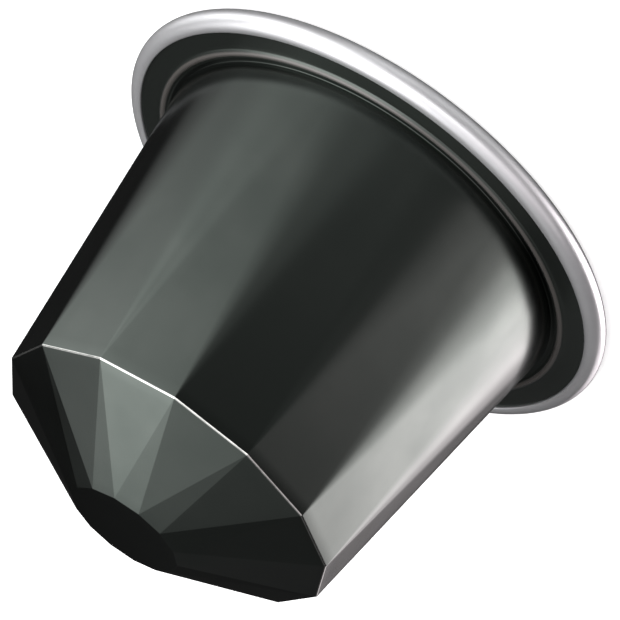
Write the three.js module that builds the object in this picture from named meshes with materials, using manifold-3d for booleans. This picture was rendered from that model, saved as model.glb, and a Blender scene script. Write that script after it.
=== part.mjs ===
// Coffee pod: a deep-drawn aluminium cup, filled with ground coffee and closed with a foil lid.
// Millimetres. The pod stands on its lid: +Z runs from the lid up to the small end, and the origin
// is the centre of the lid's face. One corner of the faceted shoulder points along +X.
//
// The pod is sealed and can't be seen into, so it is one solid. The wall leaves the flange as a
// round cup and ends in a fourteen-sided shoulder: a flat runs up from each side of the shoulder
// and tapers to nothing at the flange, and the conical strips between the flats run together there.
// A shallow faceted dome closes the end. The flange carries a sealing bead, and its outer edge is
// rolled over.

import * as THREE from 'three';
import { ConvexGeometry } from 'three/addons/geometries/ConvexGeometry.js';
import { mergeVertices } from 'three/addons/utils/BufferGeometryUtils.js';
import Module from 'manifold-3d';

// Cup
const mouthDiameter = 30.0; // the round wall at its root, inside the flange
const shoulderHeight = 23.5; // from the lid's face
const shoulderInset = 2.9; // how much nearer to the axis the shoulder's corners are than the mouth
const domeHeight = 4.3; // from the shoulder to the flat end
const endAcrossCorners = 8.0; // the small flat end
const facetCount = 14;
const edgeRadius = 0.15; // the outer radius of the shoulder's and the end's folds

// Flange
const flangeWidth = 3.5; // from the mouth to the outermost edge
const curlDiameter = 1.6; // the rolled edge, measured across its section
const curlFaceWidth = 1.1; // from the outermost edge in to the curl's own free edge
const faceDrop = 0.2; // how far the flange's face lies below the top of the curl
const beadOffset = 0.65; // from the mouth to the middle of the sealing bead
const beadWidth = 0.7;
const beadHeight = 0.2;
const neckFillet = 0.3; // between the flange's face and the wall

// Fineness of the curves
const wallStepsPerFacet = 8;
const foldStepsPerFacet = 4;
const foldArcSteps = 3;
const curlArcSteps = 12;
const beadArcSteps = 6;
const filletArcSteps = 4;
const weldDistance = 1e-4;

// Places that follow from the sizes above
const facetAngle = (2 * Math.PI) / facetCount;
const mouthRadius = mouthDiameter / 2;
const flangeRadius = mouthRadius + flangeWidth;
const curlRadius = curlDiameter / 2;
const faceHeight = curlDiameter - faceDrop;
const wallRoot = new THREE.Vector2(mouthRadius, faceHeight / 2);
const shoulderCorner = new THREE.Vector2(mouthRadius - shoulderInset, shoulderHeight);
const endCorner = new THREE.Vector2(endAcrossCorners / 2, shoulderHeight + domeHeight);
const endCentre = new THREE.Vector2(0, shoulderHeight + domeHeight);

const blackLacquer = new THREE.MeshStandardMaterial({
  name: 'black_lacquer',
  color: 0x3a3e3b,
  roughness: 0.35,
  metalness: 0.6,
});

const wasm = await Module();
wasm.setup();

// A closed geometry as a solid: only its positions, welded, without the slivers that welding leaves.
function toSolid(geometry) {
  const bare = geometry.clone();
  bare.deleteAttribute('normal');
  bare.deleteAttribute('uv');
  const welded = mergeVertices(bare, weldDistance);
  const index = Array.from(welded.index.array);
  const triangles = [];
  for (let first = 0; first < index.length; first += 3) {
    const [a, b, c] = index.slice(first, first + 3);
    if (a !== b && b !== c && c !== a) {
      triangles.push(a, b, c);
    }
  }
  return new wasm.Manifold(new wasm.Mesh({
    numProp: 3,
    vertProperties: new Float32Array(welded.attributes.position.array),
    triVerts: new Uint32Array(triangles),
  }));
}

function toGeometry(solid) {
  const mesh = solid.getMesh();
  const geometry = new THREE.BufferGeometry();
  geometry.setAttribute('position', new THREE.BufferAttribute(mesh.vertProperties, mesh.numProp));
  geometry.setIndex(new THREE.BufferAttribute(mesh.triVerts, 1));
  geometry.computeVertexNormals();
  return geometry;
}

// Points of an arc, as radius and height, both ends included. Angles are from the radial direction.
function arcPoints(centre, radius, startAngle, endAngle, steps) {
  const points = [];
  for (let step = 0; step <= steps; step += 1) {
    const angle = startAngle + ((endAngle - startAngle) * step) / steps;
    points.push(new THREE.Vector2(
      centre.x + radius * Math.cos(angle),
      centre.y + radius * Math.sin(angle),
    ));
  }
  return points;
}

// The wall's radius at a height, measured at a corner of the facets.
function wallRadiusAt(height) {
  const along = (height - wallRoot.y) / (shoulderCorner.y - wallRoot.y);
  return THREE.MathUtils.lerp(wallRoot.x, shoulderCorner.x, along);
}

// The arc that rounds a fold of the cup's side profile, tangent to the lines on its two sides.
function foldArc(before, corner, after) {
  const incoming = corner.clone().sub(before).normalize();
  const outgoing = after.clone().sub(corner).normalize();
  const inward = outgoing.clone().sub(incoming).normalize();
  const halfAngle = Math.acos(-incoming.dot(outgoing)) / 2;
  const centre = corner.clone().addScaledVector(inward, edgeRadius / Math.sin(halfAngle));
  const startAngle = incoming.angle() - Math.PI / 2;
  const endAngle = outgoing.angle() - Math.PI / 2;
  return { centre, startAngle, endAngle };
}

// A ring of the fold: a polygon whose corners are arcs, where the profile's arc has this angle.
function foldRing(fold, profileAngle, turn) {
  const cornerRadius = edgeRadius * Math.cos(profileAngle);
  const height = fold.centre.y + edgeRadius * Math.sin(profileAngle);
  const points = [];
  for (let corner = 0; corner < facetCount; corner += 1) {
    const direction = turn + corner * facetAngle;
    for (let step = 0; step <= foldStepsPerFacet; step += 1) {
      const normal = direction + facetAngle * (step / foldStepsPerFacet - 0.5);
      points.push(new THREE.Vector3(
        fold.centre.x * Math.cos(direction) + cornerRadius * Math.cos(normal),
        fold.centre.x * Math.sin(direction) + cornerRadius * Math.sin(normal),
        height,
      ));
    }
  }
  return points;
}

function foldPoints(before, corner, after, turn) {
  const fold = foldArc(before, corner, after);
  const points = [];
  for (let step = 0; step <= foldArcSteps; step += 1) {
    const profileAngle = THREE.MathUtils.lerp(fold.startAngle, fold.endAngle, step / foldArcSteps);
    points.push(...foldRing(fold, profileAngle, turn));
  }
  return points;
}

function mouthCircle() {
  const steps = facetCount * wallStepsPerFacet;
  const points = [];
  for (let step = 0; step < steps; step += 1) {
    const angle = (2 * Math.PI * step) / steps;
    points.push(new THREE.Vector3(
      wallRoot.x * Math.cos(angle),
      wallRoot.x * Math.sin(angle),
      wallRoot.y,
    ));
  }
  return points;
}

// The cup is the tightest skin round its circular mouth, its shoulder and its flat end. The end's
// corners are turned by half a facet, which gives the dome its triangles.
function makeCup() {
  return new ConvexGeometry([
    ...mouthCircle(),
    ...foldPoints(wallRoot, shoulderCorner, endCorner, 0),
    ...foldPoints(shoulderCorner, endCorner, endCentre, facetAngle / 2),
  ]);
}

// Half the section of the flange: lid face, rolled edge, flange face, bead, and fillet up the wall.
function flangeProfile() {
  const curlCentre = new THREE.Vector2(flangeRadius - curlRadius, curlRadius);
  const curlEndAngle = Math.acos((curlRadius - curlFaceWidth) / curlRadius);
  const curl = arcPoints(curlCentre, curlRadius, -Math.PI / 2, curlEndAngle, curlArcSteps);
  const curlFoot = new THREE.Vector2(flangeRadius - curlFaceWidth, faceHeight);

  const halfWidth = beadWidth / 2;
  const beadRadius = (halfWidth ** 2 + beadHeight ** 2) / (2 * beadHeight);
  const beadCentre = new THREE.Vector2(mouthRadius + beadOffset, faceHeight + beadHeight - beadRadius);
  const beadReach = Math.asin(halfWidth / beadRadius);
  const bead = arcPoints(
    beadCentre,
    beadRadius,
    Math.PI / 2 - beadReach,
    Math.PI / 2 + beadReach,
    beadArcSteps,
  );

  const filletTop = faceHeight + neckFillet;
  const filletCentre = new THREE.Vector2(wallRadiusAt(filletTop) + neckFillet, filletTop);
  const fillet = arcPoints(filletCentre, neckFillet, -Math.PI / 2, -Math.PI, filletArcSteps);

  return [
    new THREE.Vector2(0, 0),
    ...curl,
    curlFoot,
    ...bead,
    ...fillet,
    new THREE.Vector2(0, filletTop),
  ];
}

function makeFlange() {
  const geometry = new THREE.LatheGeometry(flangeProfile(), facetCount * wallStepsPerFacet);
  geometry.rotateX(Math.PI / 2);
  return geometry;
}

const sealedPod = toSolid(makeFlange()).add(toSolid(makeCup()));

const pod = new THREE.Mesh(toGeometry(sealedPod), blackLacquer);
pod.name = 'sealed_pod';

const part = new THREE.Group();
part.add(pod);

export default part;
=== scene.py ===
"""Looks for the coffee pod: a lacquered cup, a rolled silver edge and a foil lid.

Metres, in the CAD frame, the pod standing on its lid: +Z runs from the lid up to the small end,
and one corner of the faceted shoulder points along +X.
"""

import math

import bmesh
import bpy
from mathutils import Matrix, Vector


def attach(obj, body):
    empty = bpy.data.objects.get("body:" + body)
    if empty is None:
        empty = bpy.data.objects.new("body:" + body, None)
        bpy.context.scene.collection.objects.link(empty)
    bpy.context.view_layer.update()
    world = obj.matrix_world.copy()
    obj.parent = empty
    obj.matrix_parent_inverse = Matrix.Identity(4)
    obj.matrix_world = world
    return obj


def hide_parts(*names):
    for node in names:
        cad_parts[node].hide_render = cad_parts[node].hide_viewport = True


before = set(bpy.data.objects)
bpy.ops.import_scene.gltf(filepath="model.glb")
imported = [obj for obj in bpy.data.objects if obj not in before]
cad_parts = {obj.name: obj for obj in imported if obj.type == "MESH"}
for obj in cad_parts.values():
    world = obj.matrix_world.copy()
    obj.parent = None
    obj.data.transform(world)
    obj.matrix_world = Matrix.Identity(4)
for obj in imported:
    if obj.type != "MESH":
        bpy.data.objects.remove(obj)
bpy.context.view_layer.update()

MM = 0.001

# The pod's sizes, in millimetres. They are the CAD source's, but the bead is 0.05 nearer to the
# wall and 0.1 wider, and the fillet at the neck is tighter, as the photograph shows them.
MOUTH_RADIUS = 15.0
MOUTH_HEIGHT = 0.7  # where the wall's lines start, inside the flange
SHOULDER_RADIUS = 12.1
SHOULDER_HEIGHT = 23.5
END_RADIUS = 4.0
END_HEIGHT = 27.8
FACETS = 14
FOLD_RADIUS = 0.15
FLANGE_RADIUS = 18.5
CURL_RADIUS = 0.8
CURL_EDGE_RADIUS = 17.4
FACE_HEIGHT = 1.4
BEAD_RADIUS = 15.6
BEAD_WIDTH = 0.8
BEAD_HEIGHT = 0.2
NECK_FILLET = 0.05
FLANGE_FOOT = 0.3  # height of the cup sheet's hidden foot, inside the rolled edge
TUCK = 0.25  # how far the sheet's face runs in under the rolled edge
CURL_LIP = 0.05  # width of the small rounding at the rolled edge's free side
LIP_MIDDLE = (0.015, 0.025)  # a point of that rounding: out from the free side, down from its top
LIP_DROP = 0.06  # height of the rounding
SIDE_MARGIN = 0.1  # how far the free side's own points lie below the face and above its foot
FOOT_CORNER = 0.03  # cut off at the foot of the free side
LID_CLEARANCE = 0.05  # how far the foil ends inside the line that the rolled edge stands on
LID_THICKNESS = 0.12
LID_CORNER = 0.03  # size of the foil's rounded lower edge
LID_CORNER_MIDDLE = (0.008, 0.01)  # a point of it: in from the foil's edge, up from its face

# Fineness of the meshes
STRIP_STEPS = 12  # across the conical strip at each corner
FLAT_STEPS = 6  # across each flat
WALL_STEPS = 30
DOME_STEPS = 12
FOLD_STEPS = 6
FACE_STEPS = 5
BEAD_STEPS = 16
FILLET_STEPS = 6
CURL_STEPS = 40
END_SHARES = (0.75, 0.5, 0.25)  # rings on the flat end, as shares of its radius
WELD_DISTANCE = 1e-3  # in millimetres
FACET_ANGLE = 2 * math.pi / FACETS


def radial(angle, radius, height):
    return Vector((radius * math.cos(angle), radius * math.sin(angle), height))


def tilted(angle, rise):
    """The unit vector that points outward at this azimuth and rises by this angle."""
    return radial(angle, math.cos(rise), math.sin(rise))


def fold_centre(before, corner, after):
    """Centre, as radius and height, of the arc that rounds a corner of the side profile."""
    incoming = (Vector(corner) - Vector(before)).normalized()
    outgoing = (Vector(after) - Vector(corner)).normalized()
    inward = (outgoing - incoming).normalized()
    half_angle = math.acos(-incoming.dot(outgoing)) / 2
    return Vector(corner) + inward * (FOLD_RADIUS / math.sin(half_angle))


WALL_ROOT = (MOUTH_RADIUS, MOUTH_HEIGHT)
SHOULDER = (SHOULDER_RADIUS, SHOULDER_HEIGHT)
END = (END_RADIUS, END_HEIGHT)
SHOULDER_FOLD = fold_centre(WALL_ROOT, SHOULDER, END)
END_FOLD = fold_centre(SHOULDER, END, (0, END_HEIGHT))


def polygon_reach(radius, turn, angle):
    """How far the polygon with its corners at this radius reaches in a horizontal direction."""
    nearest = turn + FACET_ANGLE * round((angle - turn) / FACET_ANGLE)
    return radius * math.cos(angle - nearest)


def wall_rise(angle):
    """How far the wall's outward direction points up, where it faces this azimuth."""
    across = MOUTH_RADIUS - polygon_reach(SHOULDER_FOLD[0], 0, angle)
    up = SHOULDER_FOLD[1] - MOUTH_HEIGHT
    return math.acos(FOLD_RADIUS / math.hypot(across, up)) - math.atan2(up, across)


def dome_rise(angle):
    across = polygon_reach(SHOULDER_FOLD[0], 0, angle)
    across -= polygon_reach(END_FOLD[0], FACET_ANGLE / 2, angle)
    return math.atan2(across, END_FOLD[1] - SHOULDER_FOLD[1])


def cup_columns():
    """The lines that run from the flange to the small end, once round the cup. Each has the
    azimuth that it faces, and its points on the sharp shoulder and the sharp end."""
    columns = []
    half = FACET_ANGLE / 2
    for facet in range(FACETS):
        corner_angle = facet * FACET_ANGLE
        corner = radial(corner_angle, *SHOULDER_FOLD)
        next_corner = radial(corner_angle + FACET_ANGLE, *SHOULDER_FOLD)
        end_before = radial(corner_angle - half, *END_FOLD)
        end_after = radial(corner_angle + half, *END_FOLD)
        half_steps = STRIP_STEPS // 2
        for step in range(half_steps):
            angle = corner_angle - half + half * step / half_steps
            columns.append((angle, corner, end_before))
        for step in range(FLAT_STEPS):
            share = step / FLAT_STEPS
            columns.append((corner_angle, corner, end_before.lerp(end_after, share)))
        for step in range(half_steps):
            angle = corner_angle + half * step / half_steps
            columns.append((angle, corner, end_after))
        for step in range(FLAT_STEPS):
            share = step / FLAT_STEPS
            columns.append((corner_angle + half, corner.lerp(next_corner, share), end_after))
    return columns


def flange_profile():
    """Radius and height of the flange's face, from the rolled edge in over the sealing bead."""
    tucked = CURL_EDGE_RADIUS + TUCK
    outer = BEAD_RADIUS + BEAD_WIDTH / 2
    points = [(tucked, FLANGE_FOOT), (tucked, FACE_HEIGHT)]
    for step in range(FACE_STEPS):
        inward = (outer - CURL_EDGE_RADIUS) * step / FACE_STEPS
        points.append((CURL_EDGE_RADIUS + inward, FACE_HEIGHT))
    for step in range(BEAD_STEPS + 1):
        across = 1 - 2 * step / BEAD_STEPS
        rise = BEAD_HEIGHT * math.cos(math.pi / 2 * across) ** 2
        points.append((BEAD_RADIUS + across * BEAD_WIDTH / 2, FACE_HEIGHT + rise))
    return points


def cup_column_points(column):
    """The points of one column, from the hidden foot of the flange up to the small end."""
    angle, shoulder, end = column
    wall_normal = tilted(angle, wall_rise(angle))
    root = radial(angle, MOUTH_RADIUS, MOUTH_HEIGHT)
    wall_top = shoulder + wall_normal * FOLD_RADIUS
    fillet_top = FACE_HEIGHT + NECK_FILLET
    wall_foot = root.lerp(wall_top, (fillet_top - root.z) / (wall_top.z - root.z))
    foot_angle = math.atan2(wall_foot.y, wall_foot.x)
    foot_radius = math.hypot(wall_foot.x, wall_foot.y)

    points = [radial(foot_angle, radius, height) for radius, height in flange_profile()]
    for step in range(FILLET_STEPS):
        turn = math.pi / 2 * (1 - step / FILLET_STEPS)
        radius = foot_radius + NECK_FILLET * (1 - math.cos(turn))
        points.append(radial(foot_angle, radius, fillet_top - NECK_FILLET * math.sin(turn)))
    for step in range(WALL_STEPS):
        points.append(wall_foot.lerp(wall_top, step / WALL_STEPS))

    rises = [wall_rise(angle), dome_rise(angle), math.pi / 2]
    for step in range(FOLD_STEPS):
        rise = rises[0] + (rises[1] - rises[0]) * step / FOLD_STEPS
        points.append(shoulder + tilted(angle, rise) * FOLD_RADIUS)
    dome_normal = tilted(angle, rises[1])
    for step in range(DOME_STEPS):
        points.append(shoulder.lerp(end, step / DOME_STEPS) + dome_normal * FOLD_RADIUS)
    for step in range(FOLD_STEPS + 1):
        rise = rises[1] + (rises[2] - rises[1]) * step / FOLD_STEPS
        points.append(end + tilted(angle, rise) * FOLD_RADIUS)
    last = points[-1]
    for share in END_SHARES:
        points.append(Vector((last.x * share, last.y * share, last.z)))
    return points


def mesh_object(name, vertices, faces, material):
    """A smooth piece that rides on the body, from points in millimetres. Corners that coincide are
    welded, and faces of no area are taken out."""
    mesh = bpy.data.meshes.new(name)
    mesh.from_pydata([v * MM for v in vertices], [], faces)
    piece = bpy.data.objects.new(name, mesh)
    bpy.context.scene.collection.objects.link(piece)
    build = bmesh.new()
    build.from_mesh(mesh)
    bmesh.ops.remove_doubles(build, verts=build.verts, dist=WELD_DISTANCE * MM)
    bmesh.ops.dissolve_degenerate(build, dist=WELD_DISTANCE * MM, edges=build.edges)
    bmesh.ops.recalc_face_normals(build, faces=build.faces)
    for face in build.faces:
        face.smooth = True
    build.to_mesh(mesh)
    build.free()
    mesh.materials.append(material)
    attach(piece, "root")
    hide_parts("sealed_pod")
    return piece


def ring_faces(columns, rows):
    """Quads between neighbouring columns of the same number of points, once round."""
    faces = []
    for column in range(columns):
        following = (column + 1) % columns
        for row in range(rows - 1):
            faces.append((
                column * rows + row,
                following * rows + row,
                following * rows + row + 1,
                column * rows + row + 1,
            ))
    return faces


def make_cup(material):
    """The cup with its flange: the columns' skin, closed at the small end and under the flange."""
    columns = [cup_column_points(column) for column in cup_columns()]
    rows = len(columns[0])
    vertices = [point for column in columns for point in column]
    faces = ring_faces(len(columns), rows)
    apex = len(vertices)
    vertices.append(Vector((0, 0, columns[0][-1].z)))
    foot = len(vertices)
    vertices.append(Vector((0, 0, columns[0][0].z)))
    for column in range(len(columns)):
        following = (column + 1) % len(columns)
        faces.append((column * rows + rows - 1, following * rows + rows - 1, apex))
        faces.append((following * rows, column * rows, foot))
    return mesh_object("lacquered_cup", vertices, faces, material)


def make_turned(name, profile, material, steps=224):
    """A closed ring, turned from a closed line of radius and height."""
    vertices = []
    for step in range(steps):
        angle = 2 * math.pi * step / steps
        vertices.extend(radial(angle, radius, height) for radius, height in profile)
    rows = len(profile)
    faces = ring_faces(steps, rows)
    for step in range(steps):
        following = (step + 1) % steps
        faces.append((
            step * rows + rows - 1,
            following * rows + rows - 1,
            following * rows,
            step * rows,
        ))
    return mesh_object(name, vertices, faces, material)


def rolled_edge_profile():
    """The curl's section: round the outside, over the top and down the step at its free edge."""
    centre_radius = FLANGE_RADIUS - CURL_RADIUS
    last = math.acos((CURL_EDGE_RADIUS + CURL_LIP - centre_radius) / CURL_RADIUS)
    points = []
    for step in range(CURL_STEPS + 1):
        turn = -math.pi / 2 + (last + math.pi / 2) * step / CURL_STEPS
        points.append((
            centre_radius + CURL_RADIUS * math.cos(turn),
            CURL_RADIUS + CURL_RADIUS * math.sin(turn),
        ))
    top = points[-1][1]
    points.append((CURL_EDGE_RADIUS + LIP_MIDDLE[0], top - LIP_MIDDLE[1]))
    points.append((CURL_EDGE_RADIUS, top - LIP_DROP))
    points.append((CURL_EDGE_RADIUS, FACE_HEIGHT - SIDE_MARGIN))
    points.append((CURL_EDGE_RADIUS, SIDE_MARGIN))
    points.append((CURL_EDGE_RADIUS + FOOT_CORNER, FOOT_CORNER))
    return points


def make_lid(material, rings=24, steps=168):
    """The foil: a thin disc with a rounded lower edge, level with the foot of the rolled edge."""
    outer = FLANGE_RADIUS - CURL_RADIUS - LID_CLEARANCE
    profile = [(outer * ring / rings, 0.0) for ring in range(1, rings)]
    profile.append((outer - LID_CORNER, 0.0))
    profile.append((outer - LID_CORNER_MIDDLE[0], LID_CORNER_MIDDLE[1]))
    profile.append((outer, LID_CORNER))
    profile.append((outer, LID_THICKNESS))
    vertices = []
    for step in range(steps):
        angle = 2 * math.pi * step / steps
        vertices.extend(radial(angle, radius, height) for radius, height in profile)
    rows = len(profile)
    faces = ring_faces(steps, rows)
    under = len(vertices)
    vertices.append(Vector((0, 0, 0)))
    above = len(vertices)
    vertices.append(Vector((0, 0, LID_THICKNESS)))
    for step in range(steps):
        following = (step + 1) % steps
        faces.append((step * rows, following * rows, under))
        faces.append((following * rows + rows - 1, step * rows + rows - 1, above))
    return mesh_object("foil_lid", vertices, faces, material)


# Materials


class Nodes:
    """Adds and links the nodes of one material or world."""

    def __init__(self, tree):
        self.tree = tree
        tree.nodes.clear()

    def add(self, kind, inputs=None, **settings):
        node = self.tree.nodes.new(kind)
        for key, value in settings.items():
            setattr(node, key, value)
        for key, value in (inputs or {}).items():
            socket = node.inputs[key]
            if isinstance(value, bpy.types.NodeSocket):
                self.tree.links.new(value, socket)
            else:
                socket.default_value = value
        return node

    def math(self, operation, first, second=0.0):
        node = self.add("ShaderNodeMath", {0: first, 1: second}, operation=operation)
        return node.outputs[0]

    def remap(self, value, low, high, to_low, to_high, smooth=False):
        kind = "SMOOTHSTEP" if smooth else "LINEAR"
        node = self.add("ShaderNodeMapRange", {
            "Value": value, "From Min": low, "From Max": high,
            "To Min": to_low, "To Max": to_high,
        }, interpolation_type=kind)
        return node.outputs[0]

    def distance(self, value, place):
        return self.math("ABSOLUTE", self.math("SUBTRACT", value, place))

    def axis_distance(self, position):
        """How far a place is from the pod's axis."""
        flat = self.add("ShaderNodeVectorMath", {0: position, 1: (1, 1, 0)}, operation="MULTIPLY")
        return self.add(
            "ShaderNodeVectorMath", {0: flat.outputs[0]}, operation="LENGTH",
        ).outputs["Value"]

    def noise(self, position, scale, detail=2.0, roughness=0.5):
        """Noise with one bump each 1/scale metres."""
        node = self.add("ShaderNodeTexNoise", {
            "Vector": position, "Scale": scale, "Detail": detail, "Roughness": roughness,
        })
        return node.outputs["Fac"]

    def blend(self, share, first, second):
        node = self.add("ShaderNodeMix", data_type="RGBA")
        for name, value in (("Factor_Float", share), ("A_Color", first), ("B_Color", second)):
            socket = next(s for s in node.inputs if s.identifier == name)
            if isinstance(value, bpy.types.NodeSocket):
                self.tree.links.new(value, socket)
            else:
                socket.default_value = value
        return next(s for s in node.outputs if s.identifier == "Result_Color")


def new_material(name):
    material = bpy.data.materials.new(name)
    material.use_nodes = True
    return material, Nodes(material.node_tree)


def finish_material(nodes, shader):
    nodes.add("ShaderNodeOutputMaterial", {"Surface": shader.outputs[0]})


LACQUER = (0.066, 0.0745, 0.0685, 1)
LACQUER_DEEP = (0.057, 0.0655, 0.060, 1)
LACQUER_THIN = (0.60, 0.60, 0.58, 1)  # where the metal shines through, along the shoulder's fold
THIN_MIDDLE = 0.62  # height of the thin line above the fold's centre, in fold radii
THIN_REACH = (0.36, 0.22)  # from the line's middle to where it ends and where it is full, likewise
SEALANT = (0.085, 0.079, 0.075, 1)  # the bead
BEAD_REACH = (0.30, 0.18)  # from the bead's middle to where its colour ends and is full, in widths
BEAD_METALLIC = 0.3
FACE_START = MOUTH_RADIUS + 0.15  # from here to FACE_FULL the lacquer turns to that of the face
FACE_FULL = FACE_START + 0.1
FACE_METALLIC = 0.84  # the lacquer lies thicker and duller on the flange's face
PEEL_DEPTH = 0.004  # of the bump, in millimetres


def make_lacquer():
    """Black lacquer on drawn sheet: cloudy depth, orange peel, and a thin line along the fold."""
    material, nodes = new_material("black_lacquer")
    position = nodes.add("ShaderNodeTexCoord").outputs["Object"]
    cloud = nodes.noise(position, 180.0, 3.0)
    grain = nodes.noise(position, 2600.0, 2.0)
    peel = nodes.noise(position, 900.0, 3.0)
    colour = nodes.blend(nodes.remap(cloud, 0.35, 0.65, 0, 1), LACQUER, LACQUER_DEEP)

    height_above = nodes.add("ShaderNodeSeparateXYZ", {"Vector": position}).outputs["Z"]
    middle = (SHOULDER_FOLD[1] + THIN_MIDDLE * FOLD_RADIUS) * MM
    off_fold = nodes.distance(height_above, middle)
    thin_end, thin_full = (reach * FOLD_RADIUS * MM for reach in THIN_REACH)
    fold = nodes.remap(off_fold, thin_end, thin_full, 0.0, 1.0)
    fleck = nodes.remap(nodes.noise(position, 1400.0, 3.0, 0.7), 0.3, 0.6, 0.6, 1.0)
    colour = nodes.blend(nodes.math("MULTIPLY", fold, fleck), colour, LACQUER_THIN)

    radius = nodes.axis_distance(position)
    off_bead = nodes.distance(radius, BEAD_RADIUS * MM)
    bead_end, bead_full = (reach * BEAD_WIDTH * MM for reach in BEAD_REACH)
    bead = nodes.remap(off_bead, bead_end, bead_full, 0.0, 1.0)
    colour = nodes.blend(bead, colour, SEALANT)

    face = nodes.remap(radius, FACE_START * MM, FACE_FULL * MM, 1.0, FACE_METALLIC)
    metallic = nodes.math("MULTIPLY", face, nodes.remap(bead, 0.0, 1.0, 1.0, BEAD_METALLIC))
    height = nodes.math("ADD", nodes.math("MULTIPLY", grain, 0.4), peel)
    bump = nodes.add("ShaderNodeBump", {
        "Strength": 0.25, "Distance": PEEL_DEPTH * MM, "Height": height,
    })
    shader = nodes.add("ShaderNodeBsdfPrincipled", {
        "Base Color": colour,
        "Metallic": metallic,
        "Roughness": nodes.remap(cloud, 0.3, 0.7, 0.19, 0.24),
        "Normal": bump.outputs[0],
    })
    finish_material(nodes, shader)
    return material


METAL = (0.55, 0.55, 0.565, 1)
METAL_DULL = (0.50, 0.50, 0.515, 1)
LINE_RADIUS = 2.0  # where the edge is unrolled for its lines, small so that they run along it
LINE_DEPTH = 0.004  # of the bump, in millimetres


def make_rim_metal():
    """Satin bare metal: fine lines along the edge, slight blotches and a thin clear finish."""
    material, nodes = new_material("bare_aluminium")
    position = nodes.add("ShaderNodeTexCoord").outputs["Object"]
    parts = nodes.add("ShaderNodeSeparateXYZ", {"Vector": position})
    around = nodes.math("ARCTAN2", parts.outputs["Y"], parts.outputs["X"])
    unrolled = nodes.add("ShaderNodeCombineXYZ", {
        "X": nodes.math("MULTIPLY", around, LINE_RADIUS * MM),
        "Y": nodes.axis_distance(position),
        "Z": parts.outputs["Z"],
    })
    lines = nodes.noise(unrolled.outputs[0], 9000.0, 3.0, 0.6)
    blotch = nodes.noise(position, 420.0, 4.0, 0.6)
    grain = nodes.noise(position, 5200.0, 2.0)
    colour = nodes.blend(nodes.remap(blotch, 0.35, 0.7, 0, 1), METAL, METAL_DULL)
    height = nodes.math("ADD", lines, nodes.math("MULTIPLY", grain, 0.8))
    bump = nodes.add("ShaderNodeBump", {
        "Strength": 0.2, "Distance": LINE_DEPTH * MM, "Height": height,
    })
    shader = nodes.add("ShaderNodeBsdfPrincipled", {
        "Base Color": colour,
        "Metallic": 0.65,
        "Coat Weight": 0.7,
        "Coat Roughness": 0.12,
        "Roughness": nodes.remap(nodes.math("ADD", blotch, lines), 0.8, 1.2, 0.33, 0.41),
        "Normal": bump.outputs[0],
    })
    finish_material(nodes, shader)
    return material


FOIL = (0.74, 0.74, 0.75, 1)
FOIL_DULL = (0.64, 0.64, 0.66, 1)
ROLLING_DEPTH = 0.003  # of the rolling lines' bump, in millimetres
WAVE_DEPTH = 0.05  # of the waviness, likewise


def make_foil():
    """Thin foil: a soft waviness where it spans the mouth, rolling lines and faint dents."""
    material, nodes = new_material("lid_foil")
    position = nodes.add("ShaderNodeTexCoord").outputs["Object"]
    stretched = nodes.add(
        "ShaderNodeVectorMath", {0: position, 1: (0.05, 1, 1)}, operation="MULTIPLY",
    )
    lines = nodes.noise(stretched.outputs[0], 7000.0, 2.0)
    wave = nodes.noise(position, 110.0, 2.0)
    dents = nodes.noise(position, 600.0, 3.0)
    colour = nodes.blend(nodes.remap(wave, 0.3, 0.7, 0, 1), FOIL, FOIL_DULL)
    fine = nodes.add("ShaderNodeBump", {
        "Strength": 0.2, "Distance": ROLLING_DEPTH * MM, "Height": lines,
    })
    coarse = nodes.add("ShaderNodeBump", {
        "Strength": 0.5,
        "Distance": WAVE_DEPTH * MM,
        "Height": nodes.math("ADD", wave, nodes.math("MULTIPLY", dents, 0.03)),
        "Normal": fine.outputs[0],
    })
    shader = nodes.add("ShaderNodeBsdfPrincipled", {
        "Base Color": colour,
        "Metallic": 1.0,
        "Roughness": nodes.remap(dents, 0.2, 0.8, 0.28, 0.32),
        "Normal": coarse.outputs[0],
    })
    finish_material(nodes, shader)
    return material


# Surroundings

# The studio's round soft boxes, in rows by elevation. A row has its elevation and the half-width
# of its boxes in degrees, and then the azimuth and radiance of each box. The boxes whose azimuth
# is WARM_AZIMUTH or more to either side of +X give a slightly warmer light. Many of the places
# and strengths began as a least-squares fit to the photograph's tones, by a scratch script. They
# were then rounded, and changed.
SOFT_BOXES = [
    (-50, 36, [(-60, 0.45), (-120, 0.4)]),
    (-28, 26, [(180, 5.6), (160, 5.4), (-160, 1.35), (-140, 1.15)]),
    (-28, 26, [(-60, 0.6), (-100, 0.3), (-80, 0.2)]),
    (-12, 26, [(140, 2.1), (-20, 0.75), (0, 0.45), (20, 0.45), (-80, 0.1)]),
    (4, 26, [(0, 1.65), (-40, 1.45), (-20, 1.4), (20, 1.05), (-120, 0.25)]),
    (22, 32, [(-60, 0.5), (-30, 0.45), (30, 0.2)]),
    (32, 13, [(azimuth, 1.6) for azimuth in range(-95, 5, 13)]),  # a long strip
    (40, 36, [(-60, 0.85), (-90, 0.55), (-130, 1.1), (120, 0.1)]),
    (60, 32, [(0, 3.6), (45, 1.2), (-80, 0.4)]),
    (90, 36, [(0, 0.9)]),
]
WARM_AZIMUTH = 130
WARM_LIGHT = (1.0, 0.92, 0.945, 1)
ROOM = 0.02  # the studio's own dim light between the boxes
WHITE = (1, 1, 1, 1)


def glow(nodes, direction, azimuth, elevation, half_width, radiance):
    """A soft-edged round patch of light in the surroundings."""
    middle = tilted(math.radians(azimuth), math.radians(elevation))
    facing = nodes.add("ShaderNodeVectorMath", {0: direction, 1: middle}, operation="DOT_PRODUCT")
    edge = math.cos(math.radians(half_width))
    return nodes.remap(facing.outputs["Value"], edge, 1.0, 0.0, radiance, smooth=True)


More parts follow.
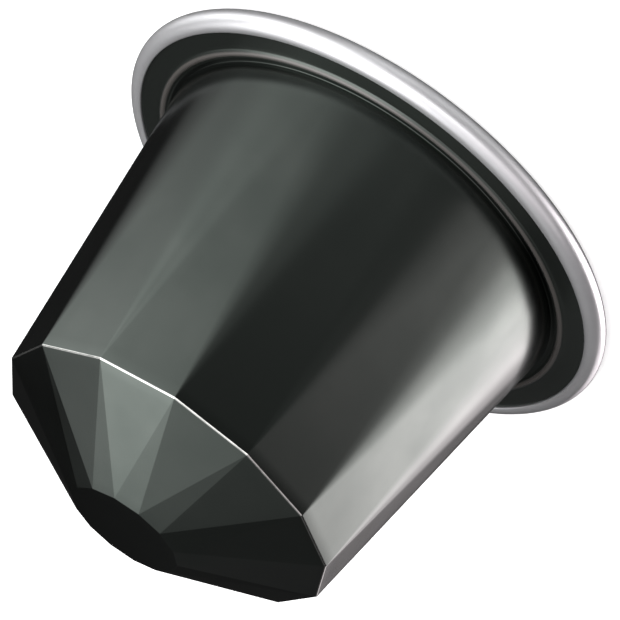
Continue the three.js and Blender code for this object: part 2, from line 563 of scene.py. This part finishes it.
def make_world():
    """White to the camera. Light and gloss come from a dim studio with soft boxes."""
    world = bpy.data.worlds.new("studio")
    bpy.context.scene.world = world
    world.use_nodes = True
    nodes = Nodes(world.node_tree)
    direction = nodes.add("ShaderNodeTexCoord").outputs["Generated"]
    light = ROOM
    warm_light = 0.0
    for elevation, half_width, boxes in SOFT_BOXES:
        for azimuth, radiance in boxes:
            box = glow(nodes, direction, azimuth, elevation, half_width, radiance)
            if abs(azimuth) < WARM_AZIMUTH:
                light = nodes.math("ADD", box, light)
            else:
                warm_light = nodes.math("ADD", box, warm_light)
    path = nodes.add("ShaderNodeLightPath")
    seen = nodes.math(
        "MAXIMUM", path.outputs["Is Camera Ray"], path.outputs["Is Transmission Ray"],
    )
    neutral = nodes.add("ShaderNodeBackground", {"Color": WHITE, "Strength": light})
    warm = nodes.add("ShaderNodeBackground", {"Color": WARM_LIGHT, "Strength": warm_light})
    studio = nodes.add("ShaderNodeAddShader", {0: neutral.outputs[0], 1: warm.outputs[0]})
    white = nodes.add("ShaderNodeBackground", {"Color": WHITE, "Strength": 1.0})
    both = nodes.add("ShaderNodeMixShader", {0: seen, 1: studio.outputs[0], 2: white.outputs[0]})
    nodes.add("ShaderNodeOutputWorld", {"Surface": both.outputs[0]})


FLOOR_RADIUS = 0.6  # in metres
FLOOR_STEPS = 96
FLOOR_DROP = 0.00002  # how far the floor lies under the lid, in metres
FLOOR_GREY = (0.8, 0.8, 0.8, 1)
FLOOR_FILL = 0.5  # added for the camera alone, so the pale floor reads as white


def make_floor():
    """A pale table. It is left out of reflections, so the black gloss shows the studio."""
    material, nodes = new_material("pale_floor")
    path = nodes.add("ShaderNodeLightPath")
    diffuse = nodes.add("ShaderNodeBsdfDiffuse", {"Color": FLOOR_GREY})
    fill = nodes.add("ShaderNodeEmission", {
        "Color": WHITE,
        "Strength": nodes.math("MULTIPLY", path.outputs["Is Camera Ray"], FLOOR_FILL),
    })
    both = nodes.add("ShaderNodeAddShader", {0: diffuse.outputs[0], 1: fill.outputs[0]})
    finish_material(nodes, both)
    angles = [2 * math.pi * step / FLOOR_STEPS for step in range(FLOOR_STEPS)]
    mesh = bpy.data.meshes.new("floor")
    rim = [radial(angle, FLOOR_RADIUS, -FLOOR_DROP) for angle in angles]
    mesh.from_pydata(rim, [], [tuple(range(FLOOR_STEPS))])
    floor = bpy.data.objects.new("floor", mesh)
    bpy.context.scene.collection.objects.link(floor)
    mesh.materials.append(material)
    floor.visible_glossy = False


# Camera, in millimetres, from a fit to the outlines in the photograph. The pod is tilted there, so
# the camera is rolled.
CAMERA_PLACE = Vector((3.821, -141.471, 74.667))
CAMERA_RIGHT = Vector((-0.78555, -0.28429, -0.54963))
CAMERA_DOWN = Vector((-0.61807, 0.31753, 0.71914))
FOCAL_PIXELS = 2400.0
IMAGE_PIXELS = 620.0
SENSOR_WIDTH = 36.0


def make_camera():
    data = bpy.data.cameras.new("photo_camera")
    data.sensor_width = SENSOR_WIDTH
    data.lens = FOCAL_PIXELS / IMAGE_PIXELS * SENSOR_WIDTH
    data.clip_start = 0.01
    data.clip_end = 10.0
    camera = bpy.data.objects.new("photo_camera", data)
    bpy.context.scene.collection.objects.link(camera)
    right = CAMERA_RIGHT.normalized()
    up = -(CAMERA_DOWN - right * CAMERA_DOWN.dot(right)).normalized()
    back = right.cross(up)
    turn = Matrix((right, up, back)).transposed().to_4x4()
    camera.matrix_world = Matrix.Translation(CAMERA_PLACE * MM) @ turn
    bpy.context.scene.camera = camera


make_cup(make_lacquer())
make_turned("rolled_edge", rolled_edge_profile(), make_rim_metal())
make_lid(make_foil())
make_world()
make_floor()
make_camera()
bpy.context.scene.view_settings.view_transform = "Standard"
